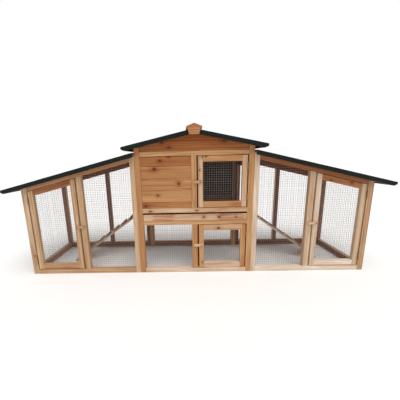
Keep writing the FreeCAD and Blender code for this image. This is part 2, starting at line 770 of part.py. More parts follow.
def doors():
    """Four doors, each with two butt hinges and a turn button."""
    pin_y = "(%s - knuckle_radius - knuckle_stand)" % FRONT
    house_right = "(%s - hinge_gap)" % POST_INSIDE
    upper_left = "(%s + latch_gap)" % STILE_RIGHT
    lower_left = "(post_width / 2 + latch_gap)"
    run_left = "(%s + latch_gap)" % RUN_DOOR_BAY
    run_right = "(%s - hinge_gap)" % RUN_POST
    lower_bottom = "(house_bottom_rail + door_gap)"
    upper_bottom = "(%s + door_gap)" % UPPER_BOTTOM
    run_bottom = "(run_bottom_rail + door_gap)"
    upper_top = flat_top("(%s - door_gap)" % UPPER_TOP)
    lower_top = flat_top("(lower_bay_top - door_gap)")
    run_top = lambda x: "(%s - run_top_rail - door_gap)" % run_under(x)
    plates = []
    pins = []
    for name, left, right, bottom, top, button_rise in (
        ("upper_door", upper_left, house_right, upper_bottom, upper_top, "upper_button"),
        ("lower_door", lower_left, house_right, lower_bottom, lower_top, "lower_button"),
        ("run_door", run_left, run_right, run_bottom, run_top, "run_button"),
    ):
        frame, mesh = door(left, right, bottom, top, button_rise)
        turn, screw = button("(%s + door_stile / 2)" % left, "(%s + %s)" % (bottom, button_rise))
        pin_x = "(%s + hinge_gap / 2)" % right
        heights = ["(%s + hinge_inset)" % bottom, "(%s - hinge_inset)" % top(right)]
        leaves = [placed(moving_leaf(), pin_x, pin_y, height) for height in heights]
        new_plates = [placed(fixed_leaf(), pin_x, pin_y, height) for height in heights]
        new_pins = [placed(hinge_pin(), pin_x, pin_y, height) for height in heights]
        hardware = group(leaves + [screw])
        parts = {"frame": frame, "mesh": mesh, "hardware": hardware, "button": turn}
        if name == "run_door":
            for part_name, thing in parts.items():
                both_sides("%s_%s" % (name, part_name), thing)
            new_plates += [mirrored(plate, ACROSS) for plate in new_plates]
            new_pins += [mirrored(pin, ACROSS) for pin in new_pins]
        else:
            for part_name, thing in parts.items():
                node("%s_%s" % (name, part_name), thing)
        plates += new_plates
        pins += new_pins
    return plates, pins


# Ramps -----------------------------------------------------------------------

def ramps(plates, pins):
    """A cleated plank down from each pop hole, hinged at its top to the side wall."""
    reach = "(ramp_length + knuckle_radius + leaf_thickness)"
    slope = "asin((%s - ramp_ground_gap - knuckle_radius) / %s)" % (RAMP_PIVOT, reach)
    first = "(knuckle_radius + leaf_thickness)"
    under = "(leaf_thickness - knuckle_radius)"
    plank = box(first, "-ramp_width / 2", under, "ramp_length", "ramp_width", "ramp_thickness")
    cleats = [
        box("cleat_first + %d * cleat_pitch" % index, "-ramp_width / 2", under + " + ramp_thickness",
            "cleat_width", "ramp_width", "cleat_height")
        for index in range(CLEATS)
    ]
    pin_x = WALL + " + knuckle_radius"
    under_plank = FreeCAD.Rotation(FreeCAD.Vector(0, 0, 1), FreeCAD.Vector(1, 0, 0),
                                   FreeCAD.Vector(0, 1, 0), "ZXY")
    down_wall = FreeCAD.Rotation(FreeCAD.Vector(-1, 0, 0), FreeCAD.Vector(0, 0, -1),
                                 FreeCAD.Vector(0, -1, 0), "ZXY")
    offsets = ["-ramp_hinge_offset", "ramp_hinge_offset"]
    leaves = [placed(moving_leaf(), "0", offset, "0", under_plank) for offset in offsets]
    ramp = group([plank] + cleats)
    hinges = group(leaves)
    for moving in (ramp, hinges):
        moving.Placement.Rotation = FreeCAD.Rotation(FreeCAD.Vector(0, 1, 0), 30)
        bind(moving, {"Placement.Base.x": pin_x, "Placement.Base.y": "pophole_centre",
                      "Placement.Base.z": RAMP_PIVOT, "Placement.Rotation.Angle": slope})
    both_sides("ramp", ramp)
    both_sides("ramp_hinges", hinges)
    for offset in offsets:
        y = "(pophole_centre + %s)" % offset
        plate = placed(fixed_leaf(), pin_x, y, RAMP_PIVOT, down_wall)
        pin = placed(hinge_pin(), pin_x, y, RAMP_PIVOT, down_wall)
        plates += [plate, mirrored(plate, ACROSS)]
        pins += [pin, mirrored(pin, ACROSS)]


# Build and write -------------------------------------------------------------

def build():
    """Make every sub-part."""
    house_posts()
    house_rails()
    house_uprights()
    door_stops()
    house_walls()
    house_gables()
    house_side_walls()
    house_mesh()
    tray()
    roofs()
    ridge_cap()
    run_frames()
    run_mesh()
    plates, pins = doors()
    ramps(plates, pins)
    node("hinge_plates", group(plates))
    node("hinge_pins", group(pins))
    doc.recompute()


def check():
    """Stop if anything failed to compute."""
    for thing in doc.Objects:
        bad = [state for state in thing.State if state in ("Invalid", "Error")]
        if bad:
            raise RuntimeError("%s (%s) is %s" % (thing.Label, thing.Name, bad))
    for label, thing in NODES.items():
        if thing.Shape.isNull() or not thing.Shape.isValid():
            raise RuntimeError("%s has no valid shape" % label)


def write():
    """Write each sub-part to its own file."""
    os.makedirs("parts", exist_ok=True)
    for label, thing in NODES.items():
        thing.Shape.exportStep("parts/%s.step" % label)
        print("%-28s %2d solids %12.0f mm3" % (label, len(thing.Shape.Solids), thing.Shape.Volume))


build()
check()
write()
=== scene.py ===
import json
import math
import random

import bmesh
import bpy
from mathutils import Matrix, Vector, noise
from mathutils.bvhtree import BVHTree

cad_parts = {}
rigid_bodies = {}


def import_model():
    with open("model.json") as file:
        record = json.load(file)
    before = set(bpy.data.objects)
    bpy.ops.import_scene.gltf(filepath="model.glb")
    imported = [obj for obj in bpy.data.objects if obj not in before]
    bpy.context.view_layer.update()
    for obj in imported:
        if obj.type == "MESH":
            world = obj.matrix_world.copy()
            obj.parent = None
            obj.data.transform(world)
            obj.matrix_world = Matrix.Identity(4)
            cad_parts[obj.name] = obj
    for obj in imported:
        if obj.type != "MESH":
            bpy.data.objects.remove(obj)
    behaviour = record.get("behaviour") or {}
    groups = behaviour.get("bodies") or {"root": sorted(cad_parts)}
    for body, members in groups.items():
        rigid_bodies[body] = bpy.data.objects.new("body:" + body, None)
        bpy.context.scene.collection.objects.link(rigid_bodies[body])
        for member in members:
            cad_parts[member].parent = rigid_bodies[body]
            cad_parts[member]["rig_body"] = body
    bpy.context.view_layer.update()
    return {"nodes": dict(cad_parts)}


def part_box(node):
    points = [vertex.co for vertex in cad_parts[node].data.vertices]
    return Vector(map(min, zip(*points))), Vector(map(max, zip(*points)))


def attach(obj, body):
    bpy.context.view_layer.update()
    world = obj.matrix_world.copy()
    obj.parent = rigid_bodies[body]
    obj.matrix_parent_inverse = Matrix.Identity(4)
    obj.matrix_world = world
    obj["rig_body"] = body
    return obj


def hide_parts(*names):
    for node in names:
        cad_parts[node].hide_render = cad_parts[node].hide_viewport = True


bl_info = {
    "name": "Rabbit hutch",
    "version": (1, 0, 0),
    "blender": (4, 5, 0),
    "location": "3D View > Sidebar > Hutch",
    "description": "Timber, wire mesh, felt and fittings of a rabbit hutch with two runs",
    "category": "Object",
}

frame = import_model()
HOUSE_FRAME = "hutch_frame"
UP = Vector((0, 0, 1))
ALONG_X = Vector((1, 0, 0))
ALONG_Y = Vector((0, 1, 0))

# Timber nodes by material slot, each with the tones of its boards in order, or one tone for them all. 1 is
# bleached, 0 is the plain stain, -1 is the deepest stain and -2 is almost black, past -1 as painted shade.
# Besides each board's own stain, the tones paint in light and shade: top boards under the roofs are deeper
# as painted shade, and low rails and the ramps' sides paler as painted light.
TIMBER = {
    "house_timber": {
        "house_post_front_right": (0.0,),
        "house_post_front_left": (-0.35,),
        "house_post_rear_right": (-0.2,),
        "house_post_rear_left": (-0.3,),
        "house_front_rails": (0.6, 0.0, 0.2, -0.05),
        "house_rear_rails": (-0.1,),
        "house_front_stile": (0.05,),
        "house_lower_post": (-0.15,),
        # Painted shade: the door stops are near black, standing in for the shaded gaps beside the doors.
        "door_stops": (-1.3,),
        "house_front_siding": (-0.55, -0.1, -0.4, -0.3, -0.7),
        "house_rear_wall": (-0.3, 0.0, -0.2, -0.1, -0.4),
        "right_side_wall": (-0.2,),
        "left_side_wall": (-0.2,),
        "tray_front": (0.4,),
        "tray_runners": (0.0,),
        "upper_door_frame": (0.4, 0.4, 0.0, -0.35),
        "lower_door_frame": (0.0, -0.1, 0.7, 0.25),
    },
    "gable_timber": {
        "house_gable_front": (-0.8, -1.0),
        "house_gable_rear": (-0.8, -1.0),
        "ridge_cap_boards": (-0.45, -0.45, 0.15),
        "ridge_cap_blocks": (0.0,),
    },
    "roof_boards": {
        "right_house_roof_board": (0.0,),
        "left_house_roof_board": (0.0,),
        "right_run_roof_board": (0.0,),
        "left_run_roof_board": (0.0,),
        "roof_edge_battens": (-0.2,),
    },
    "run_timber": {
        "right_run_front_frame": (0.65, 0.3, -0.1, -0.9, 1.1),
        "left_run_front_frame": (0.1, 0.05, 0.3, -0.5, -0.15),
        "right_run_rear_frame": (0.0,),
        "left_run_rear_frame": (0.0,),
        "right_run_end_rails": (0.0,),
        "left_run_end_rails": (0.0,),
        "right_run_door_frame": (0.6, 0.35, 0.95, -0.75),
        "left_run_door_frame": (0.05, 0.0, -0.35, -0.8),
        "right_ramp": (0.7,),
        "left_ramp": (0.3,),
    },
    "turn_buttons": {
        "upper_door_button": (-0.15,),
        "lower_door_button": (0.0,),
        "right_run_door_button": (0.4,),
        "left_run_door_button": (-0.15,),
    },
}

# Faces given painted shade (the inner faces of the house and the runs, and the tops of the ramps), with
# the way they look and their tone.
SHADED_FACES = {
    "house_rear_wall": ((0, -1, 0), -1.9),
    "right_side_wall": ((-1, 0, 0), -1.15),
    "left_side_wall": ((1, 0, 0), -1.8),
    "house_post_rear_right": ((0, -1, 0), -1.1),
    "house_post_rear_left": ((0, -1, 0), -1.0),
    "house_rear_rails": ((0, -1, 0), -1.2),
    "right_run_rear_frame": ((0, -1, 0), -1.4),
    "left_run_rear_frame": ((0, -1, 0), -1.3),
    "right_run_end_rails": ((-1, 0, 0), -1.4),
    "left_run_end_rails": ((1, 0, 0), -0.6),
    "right_ramp": ((0, 0, 1), -1.3),
    "left_ramp": ((0, 0, 1), -1.3),
}

MESH_NODES = [
    "house_lower_mesh",
    "right_run_mesh",
    "left_run_mesh",
    "upper_door_mesh",
    "lower_door_mesh",
    "right_run_door_mesh",
    "left_run_door_mesh",
]
FELT_NODES = [
    "right_house_roof_felt",
    "left_house_roof_felt",
    "right_run_roof_felt",
    "left_run_roof_felt",
]
STEEL_NODES = [
    "upper_door_hardware",
    "lower_door_hardware",
    "right_run_door_hardware",
    "left_run_door_hardware",
    "right_ramp_hinges",
    "left_ramp_hinges",
    "hinge_plates",
    "hinge_pins",
]
NAILED_NODES = [
    "house_front_siding",
    "house_rear_wall",
    "right_side_wall",
    "left_side_wall",
    "house_gable_front",
    "house_gable_rear",
]

# Knots that show on the front: how far along the node's width, how far up it, and the radius in metres.
FRONT_KNOTS = {
    "house_front_siding": [
        (0.558, 0.985, 0.006),
        (0.389, 0.917, 0.0085),
        (0.274, 0.764, 0.010),
        (0.747, 0.474, 0.0075),
        (0.326, 0.261, 0.0065),
        (0.071, 0.049, 0.008),
    ],
    "house_gable_front": [
        (0.208, 0.478, 0.0085),
        (0.271, 0.209, 0.0065),
        (0.770, 0.490, 0.0085),
    ],
    "house_post_front_left": [
        (0.80, 0.671, 0.005),
        (0.47, 0.540, 0.004),
    ],
    "house_front_rails": [
        (0.075, 0.533, 0.006),
        (0.520, 0.533, 0.005),
    ],
    "tray_front": [
        (0.587, 0.53, 0.006),
        (0.736, 0.49, 0.007),
        (0.897, 0.50, 0.004),
    ],
    "upper_door_frame": [
        (0.102, 0.977, 0.007),
        (0.162, 0.985, 0.004),
        (0.030, 0.735, 0.004),
    ],
    "lower_door_frame": [
        (0.421, 0.925, 0.007),
        (0.071, 0.127, 0.004),
    ],
    "right_run_door_frame": [
        (0.687, 0.895, 0.006),
        (0.278, 0.925, 0.004),
    ],
}

# Streaks of dark heartwood on the tray's front: middle and half length along it, as shares of its length.
HEART_STREAKS = {
    "tray_front": [(0.20, 0.11), (0.86, 0.13)],
}

# The marks that a board carries: places of up to three knots and up to two heartwood streaks.
KNOT_MARKS = ("knot_a", "knot_b", "knot_c")
STREAK_MARKS = ("streak_a", "streak_b")
MARKS = KNOT_MARKS + STREAK_MARKS
NO_MARK = Vector((9.0, 0.0, 0.0))

# How often the parts of the grain repeat, per metre.
WANDER_SCALE = 9.0
PATCH_SCALE = 34.0
STREAK_SCALE = 120.0
RAGGED_SCALE = 160.0
FIBRE_SCALE = 620.0

# How far the grain is drawn out along a board, and how much further its fibres are.
GRAIN_STRETCH = (0.11, 1.0, 1.0)
FIBRE_STRETCH = (0.03, 1.0, 1.0)

# What the stain is multiplied by where it is darkest and where it is palest.
DARKER = (0.66, 0.42, 0.26, 1.0)
PALER = (1.28, 1.42, 1.62, 1.0)
FIBRE_SHADE = (0.02, 0.01, 0.005, 1.0)
TARNISH = (0.20, 0.18, 0.16, 1.0)

# How strongly each part of the grain shows.
LATE_WOOD = 0.55
PALE_PATCHES = 0.85
DARK_PATCHES = 0.65
DARK_STREAKS = 0.75
HEARTWOOD = 0.8
KNOT_HALO = 0.55
KNOT_HEART = 0.92
FIBRES = 0.16

# How deep the wires sink into each other, and the staples' distance from the mesh's edge in pitches.
WELD_DEPTH = 0.92
STAPLE_INSET = 0.4

# Small lengths in metres.
SHORTEST_ROUNDED = 0.006
FELT_EDGE = 0.0009
HEM_RADIUS = 0.0012
HEM_INSET = 0.0006
NAIL_HEIGHT = 0.0003
NAIL_END = 0.010
NAIL_MARGIN = 0.006
NARROWEST_NAILED = 0.030
SHORTEST_NAILED = 0.015
CLOUT_HEIGHT = 0.0012
CLOUT_INSET = 0.014
LARGEST_KNOT = 0.009

# The most knots that a board has by chance, per metre of its length and of its width.
KNOTS_PER_LENGTH = 1.6 * 1.3
KNOTS_PER_WIDTH = 4.0 * 1.3

# The stage: where the camera stands, its turns about Z, X and its own Z in degrees, and its shift.
CAMERA_PLACE = (-0.0535, -1.3166, 0.655)
CAMERA_TURNS = ((1.26, "Z"), (90 - 10.77, "X"), (-1.43, "Z"))
CAMERA_SHIFT = (0.0493, -0.0055)
KEY_TURNS = (22, 8, 0)
KEY_COLOUR = (1.0, 0.99, 0.975)
SURROUND = (1.0, 0.992, 0.98, 1.0)
WHITE = (1.0, 1.0, 1.0, 1.0)
FLOOR_HALF = 30.0
FLOOR_DROP = 0.0005


# Settings --------------------------------------------------------------------

def tint(name, description, colour):
    """A colour property with its default."""
    return bpy.props.FloatVectorProperty(
        name=name, description=description, subtype="COLOR", size=3, min=0, max=1, default=colour)


def size(name, description, metres):
    """A length property with its default in metres."""
    return bpy.props.FloatProperty(
        name=name, description=description, unit="LENGTH", subtype="DISTANCE", precision=5, min=0,
        default=metres)


def share(name, description, value, low=0.0, high=1.0):
    """A plain number with its range."""
    return bpy.props.FloatProperty(name=name, description=description, min=low, max=high, default=value)


class HutchTimber(bpy.types.PropertyGroup):
    """Stain, knots and edges of the boards."""

    house: tint("House", "Stained fir of the house", (0.54, 0.292, 0.122))
    gable: tint("Gable", "Deeper stain of the gables", (0.48, 0.232, 0.096))
    # Painted shade: the roof boards and battens are stained near black, standing in for the shade under
    # the roofs.
    roof: tint("Roof boards", "Dark underside of the roofs", (0.13, 0.048, 0.022))
    run: tint("Runs", "Paler fir of the runs", (0.545, 0.355, 0.198))
    button: tint("Turn buttons", "Sanded fir of the turn buttons", (0.56, 0.36, 0.20))
    pale: tint("Pale", "Bleached boards", (0.76, 0.63, 0.50))
    deep: tint("Deep", "The deepest stain", (0.335, 0.092, 0.013))
    # Painted shade: the near black that tones past -1 blend into, for faces in shade.
    painted_shade_black: tint("Soot", "Wood black with use", (0.022, 0.0075, 0.0055))
    knot: tint("Knots", "Heart of a knot", (0.095, 0.024, 0.006))
    edge: size("Edge", "Rounding of the boards' edges", 0.0012)
    ring: size("Growth rings", "From one ring to the next", 0.0070)
    variation: share("Variation", "How much boards differ in tone", 0.08)
    seed: bpy.props.IntProperty(name="Seed", description="Which boards are drawn", default=7)


class HutchMetal(bpy.types.PropertyGroup):
    """Wire mesh, tray and fittings."""

    pitch: size("Mesh pitch", "From one wire to the next", 0.0127)
    wire: size("Wire", "Diameter of the mesh wire", 0.0009)
    galvanised: tint("Galvanised wire", "Weathered zinc on the wire", (0.43, 0.39, 0.36))
    sheet: tint("Tray", "Galvanised sheet", (0.52, 0.53, 0.54))
    zinc: tint("Fittings", "Yellow zinc of hinges and screws", (0.42, 0.26, 0.12))
    nail: size("Nail head", "Radius of the board nails", 0.0016)
    clout: size("Clout head", "Radius of the felt nails", 0.0042)
    clout_pitch: size("Clout pitch", "From one felt nail to the next", 0.085)
    staple: size("Staple", "Width of a staple's crown", 0.011)
    staple_pitch: size("Staple pitch", "From one mesh staple to the next", 0.075)


class HutchFelt(bpy.types.PropertyGroup):
    """Mineral felt of the roofs."""

    colour: tint("Felt", "Green mineral felt", (0.0045, 0.0085, 0.0062))
    granule: tint("Granules", "Lighter granules", (0.016, 0.028, 0.021))
    grain: size("Granule size", "From one granule to the next", 0.0012)
    ripple: size("Ripple", "How far the felt lifts off the boards", 0.0007)
    tile: size("Ripple spacing", "Width of the ripples", 0.035)


class HutchStage(bpy.types.PropertyGroup):
    """Floor, light and camera."""

    floor: tint("Floor", "Plain pale floor", (0.92, 0.92, 0.92))
    ambient: share("Ambient", "Soft light from all round", 0.54, 0.0, 5.0)
    key: share("Key", "Soft light from high in front", 2.3, 0.0, 20.0)
    spread: bpy.props.FloatProperty(
        name="Spread", description="How wide the key light is, as an angle", subtype="ANGLE",
        default=math.radians(50))
    lens: share("Lens", "Focal length in millimetres", 18.7, 5.0, 200.0)


SETTINGS = {
    "hutch_timber": HutchTimber,
    "hutch_metal": HutchMetal,
    "hutch_felt": HutchFelt,
    "hutch_stage": HutchStage,
}


# Solids of the frame ---------------------------------------------------------

def solids_of(node):
    """The separate solids of a node, each a list of faces of corner points."""
    mesh = frame["nodes"][node].data
    places = [tuple(round(value, 5) for value in vertex.co) for vertex in mesh.vertices]
    solids, faces, open_edges = [], [], set()
    for polygon in mesh.polygons:
        corners = [places[index] for index in polygon.vertices]
        faces.append(corners)
        for edge in zip(corners, corners[1:] + corners[:1]):
            open_edges ^= {frozenset(edge)}
        if not open_edges:
            solids.append(faces)
            faces = []
    if faces:
        raise RuntimeError("%s doesn't close" % node)
    return solids


def solid_mesh(faces):
    """One solid as a bmesh with its flat faces whole."""
    solid = bmesh.new()
    corners = {}
    for face in faces:
        for corner in face:
            if corner not in corners:
                corners[corner] = solid.verts.new(corner)
    for face in faces:
        points = [corners[corner] for corner in face]
        if len(set(points)) == len(points) and not solid.faces.get(points):
            solid.faces.new(points)
    solid.normal_update()
    bmesh.ops.dissolve_limit(solid, angle_limit=math.radians(1), verts=solid.verts, edges=solid.edges)
    solid.normal_update()
    return solid


def upwards(direction):
    """The direction or its opposite, whichever has its main part positive."""
    main = max(direction, key=abs)
    return direction if main > 0 else -direction


def board_axes(board):
    """Along the grain, across the board and through it, from its longest edge and largest face."""
    longest = max(board.edges, key=lambda edge: edge.calc_length())
    along = (longest.verts[1].co - longest.verts[0].co).normalized()
    sides = [face for face in board.faces if abs(face.normal.dot(along)) < 0.2]
    through = upwards(max(sides, key=lambda face: face.calc_area()).normal.copy())
    through = (through - along * through.dot(along)).normalized()
    along = upwards(along)
    return along, along.cross(through), through


def extent(board, axis):
    """Lowest and highest reach of a bmesh along an axis."""
    reach = [vertex.co.dot(axis) for vertex in board.verts]
    return min(reach), max(reach)


def round_edges(board, offset):
    """Round the corners that are long enough to be worked ones."""
    sharp = math.radians(20)
    edges = [
        edge for edge in board.edges
        if len(edge.link_faces) == 2 and edge.calc_face_angle(0) > sharp
        and edge.calc_length() > SHORTEST_ROUNDED
    ]
    bmesh.ops.bevel(board, geom=edges, offset=offset, segments=2, profile=0.5, affect="EDGES",
                    clamp_overlap=True)


def show(name, data):
    """Put an object with this data in the scene."""
    thing = bpy.data.objects.new(name, data)
    bpy.context.scene.collection.objects.link(thing)
    return thing


def piece(name, mesh, body, material, smooth_angle=60):
    """Put a finished bmesh in the scene, on a body, with its slot and material."""
    data = bpy.data.meshes.new(name)
    mesh.to_mesh(data)
    mesh.free()
    data.materials.append(material)
    data.shade_smooth()
    data.set_sharp_from_angle(angle=math.radians(smooth_angle))
    thing = show(name, data)
    weighted = thing.modifiers.new("flat faces", "WEIGHTED_NORMAL")
    weighted.keep_sharp = True
    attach(thing, body)
    return thing


def body_of(node):
    """The body that a node rides on."""
    return frame["nodes"][node]["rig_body"]


# Materials -------------------------------------------------------------------

class Finish:
    """A material's nodes, with short ways to add to them."""

    def __init__(self, name):
        self.material = bpy.data.materials.new(name)
        self.material.use_nodes = True
        self.tree = self.material.node_tree
        self.tree.nodes.clear()
        self.output = self.tree.nodes.new("ShaderNodeOutputMaterial")
        self.shader = self.tree.nodes.new("ShaderNodeBsdfPrincipled")
        self.tree.links.new(self.shader.outputs[0], self.output.inputs["Surface"])

    def put(self, socket, value):
        """Link a socket to another, or give it a number."""
        if isinstance(value, bpy.types.NodeSocket):
            self.tree.links.new(value, socket)
        else:
            socket.default_value = value

    def node(self, kind, inputs, **settings):
        """Add a node with its settings and inputs."""
        made = self.tree.nodes.new(kind)
        for name, value in settings.items():
            setattr(made, name, value)
        for name, value in inputs.items():
            self.put(made.inputs[name], value)
        return made

    def math(self, operation, *values):
        """Arithmetic on numbers."""
        return self.node("ShaderNodeMath", dict(enumerate(values)), operation=operation).outputs[0]

    def vector(self, operation, *values):
        """Arithmetic on vectors."""
        return self.node("ShaderNodeVectorMath", dict(enumerate(values)), operation=operation).outputs[0]

    def split(self, vector):
        """The three parts of a vector."""
        return self.node("ShaderNodeSeparateXYZ", {0: vector}).outputs

    def attribute(self, name, output):
        """A value that the mesh carries."""
        return self.node("ShaderNodeAttribute", {}, attribute_name=name).outputs[output]

    def place(self):
        """Where a point is in the hutch, in metres."""
        return self.tree.nodes.new("ShaderNodeTexCoord").outputs["Object"]

    def noise(self, vector, scale, detail=2.0, roughness=0.5):
        """Soft noise from 0 to 1."""
        inputs = {"Vector": vector, "Scale": scale, "Detail": detail, "Roughness": roughness}
        return self.node("ShaderNodeTexNoise", inputs).outputs[0]

    def cells(self, vector, scale, output="Distance"):
        """Cells of one size."""
        return self.node("ShaderNodeTexVoronoi", {"Vector": vector, "Scale": scale}).outputs[output]

    def between(self, value, low, high, to_low=0.0, to_high=1.0):
        """Spread low to high over another range, smoothly and held at its ends."""
        inputs = {"Value": value, "From Min": low, "From Max": high, "To Min": to_low, "To Max": to_high}
        return self.node("ShaderNodeMapRange", inputs, interpolation_type="SMOOTHSTEP").outputs[0]

    def ramp(self, value, low, high):
        """Spread low to high over 0 to 1, held at its ends."""
        inputs = {"Value": value, "From Min": low, "From Max": high}
        return self.node("ShaderNodeMapRange", inputs).outputs[0]

    def mix(self, factor, first, second, blend="MIX"):
        """One colour into another."""
        made = self.node("ShaderNodeMix", {}, data_type="RGBA", blend_type=blend)
        self.put(made.inputs[0], factor)
        self.put(made.inputs[6], first)
        self.put(made.inputs[7], second)
        return made.outputs[2]

    def finish(self, colour, roughness, height=None, depth=0.0005, **sockets):
        """Set the shader, with a bump if there is a height."""
        self.put(self.shader.inputs["Base Color"], colour)
        self.put(self.shader.inputs["Roughness"], roughness)
        for name, value in sockets.items():
            self.shader.inputs[name.replace("_", " ")].default_value = value
        if height is not None:
            bump = self.node("ShaderNodeBump", {"Height": height, "Distance": depth, "Strength": 1.0})
            self.put(self.shader.inputs["Normal"], bump.outputs[0])
        return self.material


def solid_colour(colour):
    """A colour property as a socket's four numbers."""
    return (*colour, 1.0)


def hypotenuse(finish, first, second):
    """The length of a line from its two parts."""
    squares = [finish.math("MULTIPLY", part, part) for part in (first, second)]
    return finish.math("SQRT", finish.math("ADD", *squares))


def knot_field(wood, grain, place, ragged):
    """The heart of one knot, and how far the grain bends round it."""
    along, across, _ = wood.split(grain)
    knot_along, knot_across, radius = wood.split(place)
    reach = wood.math("MULTIPLY", wood.math("SUBTRACT", along, knot_along), 0.75)
    side = wood.math("SUBTRACT", across, knot_across)
    distance = hypotenuse(wood, reach, side)
    widths = wood.math("DIVIDE", distance, wood.math("MAXIMUM", radius, 0.0001))
    frayed = wood.math("ADD", widths, wood.math("MULTIPLY", ragged, 0.5))
    heart = wood.between(frayed, 0.85, 1.35, 1.0, 0.0)
    halo = wood.between(widths, 0.8, 3.5, 1.0, 0.0)
    bend = wood.math("MULTIPLY", halo, wood.math("MULTIPLY", radius, 1.6))
    return heart, halo, bend


def knots_of(wood, grain, ragged):
    """Hearts and halos of a board's knots together, and how far they bend its grain."""
    heart, halo, bend = 0.0, 0.0, 0.0
    for mark in KNOT_MARKS:
        place = wood.attribute(mark, "Vector")
        one_heart, one_halo, one_bend = knot_field(wood, grain, place, ragged)
        heart = wood.math("MAXIMUM", one_heart, heart)
        halo = wood.math("MAXIMUM", one_halo, halo)
        bend = wood.math("ADD", one_bend, bend)
    return heart, halo, bend


def late_wood(wood, grain, shift, wander, bend, ring_width):
    """The dark half of the growth rings, cut from a log whose pith lies behind the board."""
    _, across, through = wood.split(grain)
    _, shift_across, shift_through = wood.split(shift)
    pith_across = wood.math("MULTIPLY", wood.math("SUBTRACT", wood.math("FRACT", shift_across), 0.5), 0.16)
    pith_through = wood.math("ADD", wood.math("MULTIPLY", wood.math("FRACT", shift_through), 0.07), 0.02)
    waver = wood.math("ADD", wood.math("MULTIPLY", wander, 0.05), bend)
    side = wood.math("ADD", wood.math("SUBTRACT", across, pith_across), waver)
    radius = hypotenuse(wood, side, wood.math("ADD", through, pith_through))
    wave = wood.math("SINE", wood.math("MULTIPLY", radius, 2 * math.pi / ring_width))
    return wood.between(wave, 0.1, 1.0)


def heartwood_of(wood, grain, streaks):
    """Where a board's streaks of dark heartwood lie."""
    along, _, _ = wood.split(grain)
    blotch = 0.0
    for mark in STREAK_MARKS:
        middle, half, _ = wood.split(wood.attribute(mark, "Vector"))
        reach = wood.math("ABSOLUTE", wood.math("SUBTRACT", along, middle))
        widths = wood.math("DIVIDE", reach, wood.math("MAXIMUM", half, 0.0001))
        blotch = wood.math("MAXIMUM", wood.between(widths, 1.2, 0.7), blotch)
    return wood.math("MULTIPLY", blotch, wood.between(streaks, 0.42, 0.56))


def timber_finish(name, colour, settings):
    """Fir: growth rings, fibres, knots and a stain that sinks in unevenly, with tones that also carry
    painted light and shade.
    """
    wood = Finish(name)
    grain = wood.attribute("grain", "Vector")
    shift = wood.attribute("shift", "Vector")
    tone = wood.attribute("tone", "Fac")
    drawn = wood.vector("ADD", wood.vector("MULTIPLY", grain, GRAIN_STRETCH), shift)
    fine = wood.vector("ADD", wood.vector("MULTIPLY", grain, FIBRE_STRETCH), shift)
    wander = wood.noise(drawn, WANDER_SCALE, 3.0)
    ragged = wood.noise(wood.vector("ADD", grain, shift), RAGGED_SCALE, 2.0)
    patches = wood.noise(drawn, PATCH_SCALE, 3.0, 0.6)
    fibres = wood.noise(fine, FIBRE_SCALE, 2.0)
    streaks = wood.noise(fine, STREAK_SCALE, 3.0, 0.7)
    heart, halo, bend = knots_of(wood, grain, ragged)
    late = late_wood(wood, grain, shift, wander, bend, settings.ring)

    paler = wood.mix(wood.ramp(tone, 0.0, 1.0), solid_colour(colour), solid_colour(settings.pale))
    deeper = wood.mix(wood.ramp(tone, 0.0, -1.0), paler, solid_colour(settings.deep))
    # Tones past -1 blend into near black as painted shade.
    shown = wood.mix(wood.ramp(tone, -1.0, -2.0), deeper, solid_colour(settings.painted_shade_black))
    for strength, shade in (
            (wood.math("MULTIPLY", late, LATE_WOOD), DARKER),
            (wood.between(patches, 0.50, 0.72, 0.0, PALE_PATCHES), PALER),
            (wood.between(patches, 0.47, 0.28, 0.0, DARK_PATCHES), DARKER),
            (wood.between(streaks, 0.58, 0.76, 0.0, DARK_STREAKS), DARKER),
            (wood.math("MULTIPLY", heartwood_of(wood, grain, streaks), HEARTWOOD), DARKER),
            (wood.math("MULTIPLY", halo, KNOT_HALO), DARKER)):
        shown = wood.mix(strength, shown, shade, "MULTIPLY")
    knotted = wood.mix(wood.math("MULTIPLY", heart, KNOT_HEART), shown, solid_colour(settings.knot))
    fibred = wood.mix(wood.math("MULTIPLY", fibres, FIBRES), knotted, FIBRE_SHADE)

    rough = wood.between(wood.math("ADD", late, fibres), 0.2, 1.6, 0.50, 0.66)
    relief = wood.math("ADD", wood.math("MULTIPLY", fibres, 0.5), wood.math("MULTIPLY", heart, 0.6))
    height = wood.math("ADD", wood.math("MULTIPLY", late, -0.35), relief)
    return wood.finish(fibred, rough, height, 0.00035, Specular_IOR_Level=0.3)


def felt_finish(settings):
    """Mineral felt: dark granules pressed in bitumen, paler where they sit thick."""
    felt = Finish("mineral_felt")
    place = felt.place()
    scale = 1.0 / settings.grain
    granules = felt.cells(place, scale, "Color")
    bumps = felt.cells(place, scale)
    clouds = felt.noise(place, 9.0, 4.0, 0.6)
    light, _, _ = felt.split(granules)
    flecks = felt.between(light, 0.55, 0.95)
    speckled = felt.mix(felt.math("MULTIPLY", flecks, 0.75), solid_colour(settings.colour),
                        solid_colour(settings.granule))
    worn = felt.mix(felt.between(clouds, 0.5, 0.8, 0.0, 0.35), speckled, solid_colour(settings.granule))
    height = felt.math("ADD", felt.math("MULTIPLY", bumps, -0.6), felt.math("MULTIPLY", clouds, 0.8))
    rough = felt.between(light, 0.0, 1.0, 0.82, 0.96)
    return felt.finish(worn, rough, height, 0.0007, Specular_IOR_Level=0.25)


